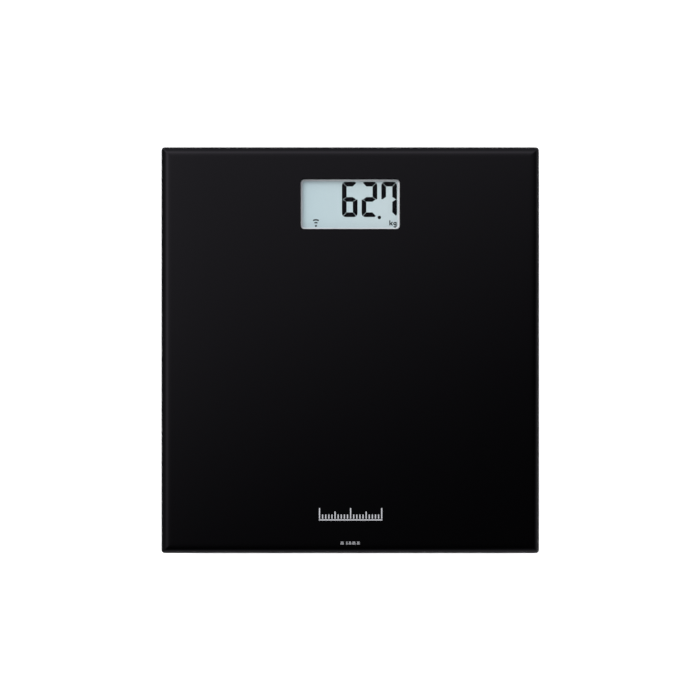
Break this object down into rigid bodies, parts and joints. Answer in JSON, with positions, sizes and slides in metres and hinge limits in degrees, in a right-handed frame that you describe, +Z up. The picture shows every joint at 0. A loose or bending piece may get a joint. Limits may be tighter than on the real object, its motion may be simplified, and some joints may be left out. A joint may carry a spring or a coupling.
{
  "type": "digital bathroom scale",
  "caption": "Slim glass-topped digital body scale: black platform with a display window near the back edge, on a shallow tray with sensing feet.",
  "frame": {"origin": "on the floor under the centre of the platform", "axes": "+Z up, +Y towards the edge with the display, +X to the right of a person reading it"},
  "size_m": [0.28, 0.301, 0.025],
  "materials": {
    "glass": "clear toughened float glass, polished faces, ground rim",
    "print": "black ceramic print on the underside of the glass",
    "tape": "dark grey foam tape",
    "tray": "black ABS, fine moulded texture",
    "foot": "black ABS, satin",
    "pad": "dark grey rubber, matt",
    "steel": "zinc-plated spring steel",
    "gauge": "white potting silicone",
    "lead": "grey PVC ribbon lead",
    "frame": "white moulded plastic",
    "lcd": "grey-green reflective LCD with dark segments",
    "elastomer": "pink conductive rubber strip",
    "board": "green solder mask on glass-fibre laminate",
    "chip": "black epoxy",
    "button": "grey moulded plastic",
    "battery": "printed film sleeve over a steel can",
    "contact": "nickel-plated spring steel",
    "red_sleeve": "red PVC sleeve",
    "black_sleeve": "black PVC sleeve"
  },
  "bodies": {
    "platform": {"glass_platform": "glass", "backing_print": "print", "bond_tape": "tape", "base_tray": "tray", "load_cell_front_left": "steel", "load_cell_front_right": "steel", "load_cell_back_left": "steel", "load_cell_back_right": "steel", "strain_gauge_front_left": "gauge", "strain_gauge_front_right": "gauge", "strain_gauge_back_left": "gauge", "strain_gauge_back_right": "gauge", "cell_retainer_front_left": "tray", "cell_retainer_front_right": "tray", "cell_retainer_back_left": "tray", "cell_retainer_back_right": "tray", "cell_lead_front_left": "lead", "cell_lead_front_right": "lead", "cell_lead_back_left": "lead", "cell_lead_back_right": "lead", "lcd_frame": "frame", "lcd_panel": "lcd", "elastomer_connector": "elastomer", "main_board": "board", "controller_blob": "chip", "wireless_module": "steel", "unit_switch": "chip", "board_screw_1": "steel", "board_screw_2": "steel", "board_screw_3": "steel", "board_screw_4": "steel", "battery_1": "battery", "battery_2": "battery", "battery_3": "battery", "battery_4": "battery", "battery_spring_1": "contact", "battery_spring_2": "contact", "battery_spring_3": "contact", "battery_spring_4": "contact", "bridge_front_left": "contact", "bridge_front_right": "contact", "bridge_back": "contact", "terminal_positive": "contact", "terminal_negative": "contact", "supply_lead_positive": "red_sleeve", "supply_lead_negative": "black_sleeve"},
    "battery_door": {"battery_door": "tray"},
    "unit_button": {"unit_button": "button"},
    "foot_front_left": {"foot_cup_front_left": "foot", "foot_pad_front_left": "pad"},
    "foot_front_right": {"foot_cup_front_right": "foot", "foot_pad_front_right": "pad"},
    "foot_back_left": {"foot_cup_back_left": "foot", "foot_pad_back_left": "pad"},
    "foot_back_right": {"foot_cup_back_right": "foot", "foot_pad_back_right": "pad"}
  },
  "joints": [
    {"name": "foot_front_left_press", "type": "slide", "parent": "platform", "child": "foot_front_left", "axis": [0, 0, 1], "range_m": [0, 0.0005], "stiffness_N_per_m": 980000},
    {"name": "foot_front_right_press", "type": "slide", "parent": "platform", "child": "foot_front_right", "axis": [0, 0, 1], "range_m": [0, 0.0005], "stiffness_N_per_m": 980000},
    {"name": "foot_back_left_press", "type": "slide", "parent": "platform", "child": "foot_back_left", "axis": [0, 0, 1], "range_m": [0, 0.0005], "stiffness_N_per_m": 980000},
    {"name": "foot_back_right_press", "type": "slide", "parent": "platform", "child": "foot_back_right", "axis": [0, 0, 1], "range_m": [0, 0.0005], "stiffness_N_per_m": 980000},
    {"name": "battery_door_hinge", "type": "hinge", "parent": "platform", "child": "battery_door", "pos_m": [0, 0.0071, 0.005], "axis": [-1, 0, 0], "range_deg": [0, 80]},
    {"name": "unit_button_press", "type": "slide", "parent": "platform", "child": "unit_button", "axis": [0, 0, 1], "range_m": [0, 0.0006], "stiffness_N_per_m": 3000}
  ]
}
